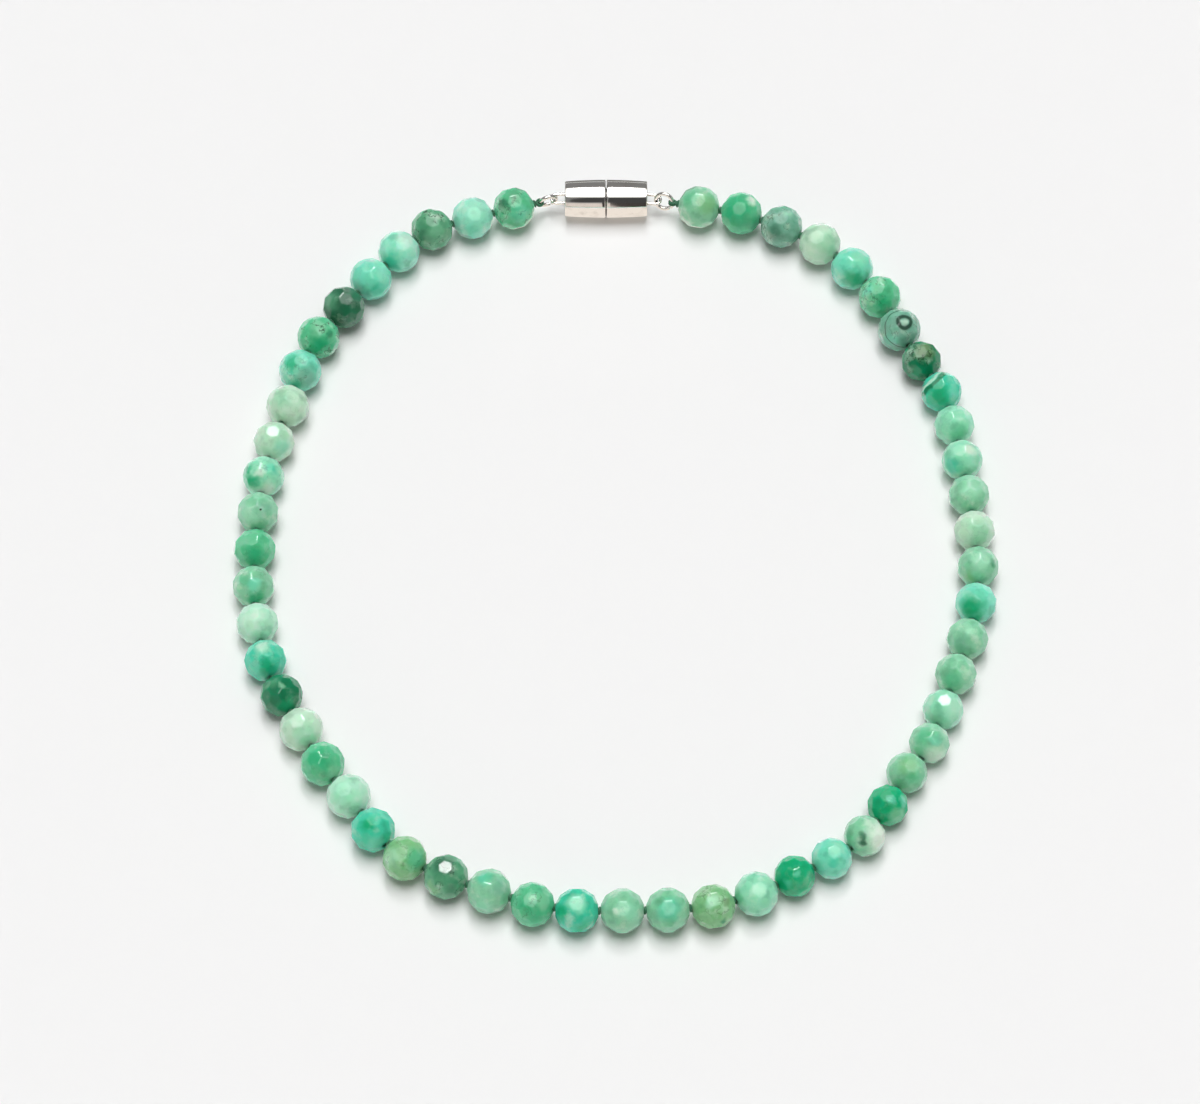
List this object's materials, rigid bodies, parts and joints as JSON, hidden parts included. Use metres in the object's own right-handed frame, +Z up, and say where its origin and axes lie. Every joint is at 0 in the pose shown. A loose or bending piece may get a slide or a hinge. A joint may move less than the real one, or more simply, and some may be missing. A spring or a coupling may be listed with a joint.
{
  "type": "beaded necklace",
  "caption": "Fastened necklace of faceted round green stone beads on knotted thread, with jump rings and a barrel clasp, lying in a loop.",
  "frame": {"origin": "on the surface that the necklace rests on, under the middle of its loop", "axes": "+X along the clasp from its left half to its right half, +Y from the front of the loop towards the clasp, +Z up"},
  "size_m": [0.1434, 0.165, 0.0083],
  "materials": {
    "bead_stone": "polished facets, mottled green, slightly translucent",
    "silver": "mirror polished silver",
    "thread": "twisted green silk"
  },
  "bodies": {
    "root": {"bead_string_left": "bead_stone", "bead_string_right": "bead_stone", "clasp_half_left": "silver", "clasp_half_right": "silver", "jump_ring_left": "silver", "jump_ring_right": "silver"}
  },
  "joints": []
}
